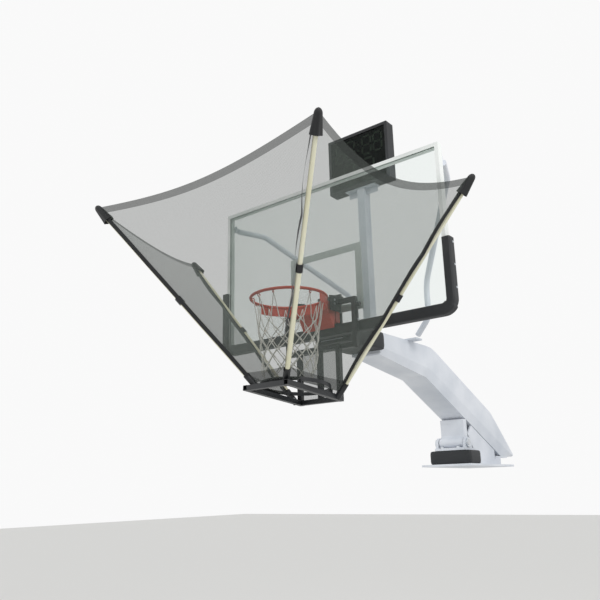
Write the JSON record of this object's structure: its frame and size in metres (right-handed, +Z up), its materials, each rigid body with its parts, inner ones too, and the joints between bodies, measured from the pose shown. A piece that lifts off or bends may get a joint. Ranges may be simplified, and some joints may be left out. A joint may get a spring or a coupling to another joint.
{
  "type": "basketball goal with ball-return net",
  "caption": "Glass basketball board and release ring on a folding bent boom, with a pole-hung mesh ball-return funnel and a shot clock above.",
  "frame": {"origin": "middle of the underside of the mounting plate", "axes": "+Z up, +X to the right of someone facing the board, +Y from the board back towards the boom's foot"},
  "size_m": [2.3324, 3.8632, 2.505],
  "materials": {
    "white_steel": "white powder coat, semi-gloss",
    "black_steel": "black powder coat, satin",
    "orange_steel": "orange powder coat, semi-gloss",
    "zinc_steel": "bright zinc plate",
    "ground_steel": "ground bright",
    "bronze": "sintered bronze, dull",
    "white_frame": "white powder coat",
    "tempered_glass": "clear tempered",
    "white_print": "fired white ceramic ink",
    "black_foam": "moulded self-skinned foam, matt",
    "net_cord": "twisted white nylon cord",
    "grey_mesh": "fine knitted polyester mesh, grey-green",
    "cream_tube": "cream enamel, satin",
    "clock_case": "black, fine texture",
    "clock_window": "smoked acrylic",
    "clock_digits": "unlit display segments"
  },
  "bodies": {
    "base": {"mounting_plate": "white_steel", "pedestal_box": "white_steel", "pedestal_pad": "black_foam", "clevis_bracket": "white_steel", "clevis_bolts": "zinc_steel", "fold_pin": "ground_steel", "fold_pin_collars": "zinc_steel", "tail_seat": "white_steel"},
    "ring": {"ring_rim": "orange_steel", "ring_bracket": "orange_steel", "net_hooks": "orange_steel", "string_net": "net_cord"},
    "latch_left": {"latch_left": "black_steel"},
    "latch_right": {"latch_right": "black_steel"},
    "pole_front_right": {"pole_upper_front_right": "cream_tube"},
    "pole_front_left": {"pole_upper_front_left": "cream_tube"},
    "pole_rear_right": {"pole_upper_rear_right": "cream_tube"},
    "pole_rear_left": {"pole_upper_rear_left": "cream_tube"},
    "boom": {"board_frame": "white_frame", "boom_arm": "white_steel", "boom_leg": "white_steel", "brace_left": "white_steel", "brace_lugs": "white_steel", "brace_right": "white_steel", "chute_frame": "black_steel", "clamp_bolts": "zinc_steel", "clamp_plates": "black_steel", "clock_bezel": "clock_case", "clock_bracket": "white_steel", "clock_digits": "clock_digits", "clock_housing": "clock_case", "clock_mast": "white_steel", "clock_window": "clock_window", "edge_pad": "black_foam", "edge_pad_screws": "zinc_steel", "fold_bush": "bronze", "frame_bolts": "zinc_steel", "glass_board": "tempered_glass", "hanger_frame": "black_steel", "head_block": "white_steel", "head_bolts": "zinc_steel", "head_pad": "black_foam", "hoop_band": "black_steel", "latch_screws": "zinc_steel", "mast_bolts": "zinc_steel", "mesh_front": "grey_mesh", "mesh_left": "grey_mesh", "mesh_right": "grey_mesh", "pole_locks": "black_steel", "pole_lower_tubes": "cream_tube", "pole_sockets": "black_steel", "rear_frame": "black_steel", "rear_mesh": "grey_mesh", "release_spring": "zinc_steel", "ring_back_plate": "black_steel", "ring_base": "orange_steel", "ring_bolts": "zinc_steel", "ring_pin": "zinc_steel", "ring_spacers": "zinc_steel", "target_lines": "white_print"}
  },
  "joints": [
    {"name": "boom_fold", "type": "hinge", "parent": "base", "child": "boom", "pos_m": [0, -0.278, 0.186], "axis": [1, 0, 0], "range_deg": [0, 40]},
    {"name": "ring_release", "type": "hinge", "parent": "boom", "child": "ring", "pos_m": [0, -2.068, 0.974], "axis": [1, 0, 0], "range_deg": [0, 17], "stiffness_Nm_per_rad": 600, "springref_deg": -51.57, "deforming": ["release_spring", "string_net"]},
    {"name": "pole_slide_front_right", "type": "slide", "parent": "boom", "child": "pole_front_right", "axis": [0.5012, -0.4207, 0.7562], "range_m": [-0.35, 0]},
    {"name": "pole_slide_front_left", "type": "slide", "parent": "boom", "child": "pole_front_left", "axis": [-0.5012, -0.4207, 0.7562], "range_m": [-0.35, 0]},
    {"name": "pole_slide_rear_right", "type": "slide", "parent": "boom", "child": "pole_rear_right", "axis": [0.6495, 0.0074, 0.7603], "range_m": [-0.35, 0]},
    {"name": "pole_slide_rear_left", "type": "slide", "parent": "boom", "child": "pole_rear_left", "axis": [-0.6495, 0.0074, 0.7603], "range_m": [-0.35, 0]},
    {"name": "latch_left_turn", "type": "hinge", "parent": "boom", "child": "latch_left", "pos_m": [-0.2875, -2.042, 0.86], "axis": [1, 0, 0], "range_deg": [0, 90]},
    {"name": "latch_right_turn", "type": "hinge", "parent": "boom", "child": "latch_right", "pos_m": [0.2875, -2.042, 0.86], "axis": [1, 0, 0], "range_deg": [0, 90]}
  ],
  "couplings": [
    {"joint": "pole_slide_front_left", "follows": "pole_slide_front_right", "ratio": 1},
    {"joint": "pole_slide_rear_right", "follows": "pole_slide_front_right", "ratio": 1},
    {"joint": "pole_slide_rear_left", "follows": "pole_slide_front_right", "ratio": 1}
  ]
}
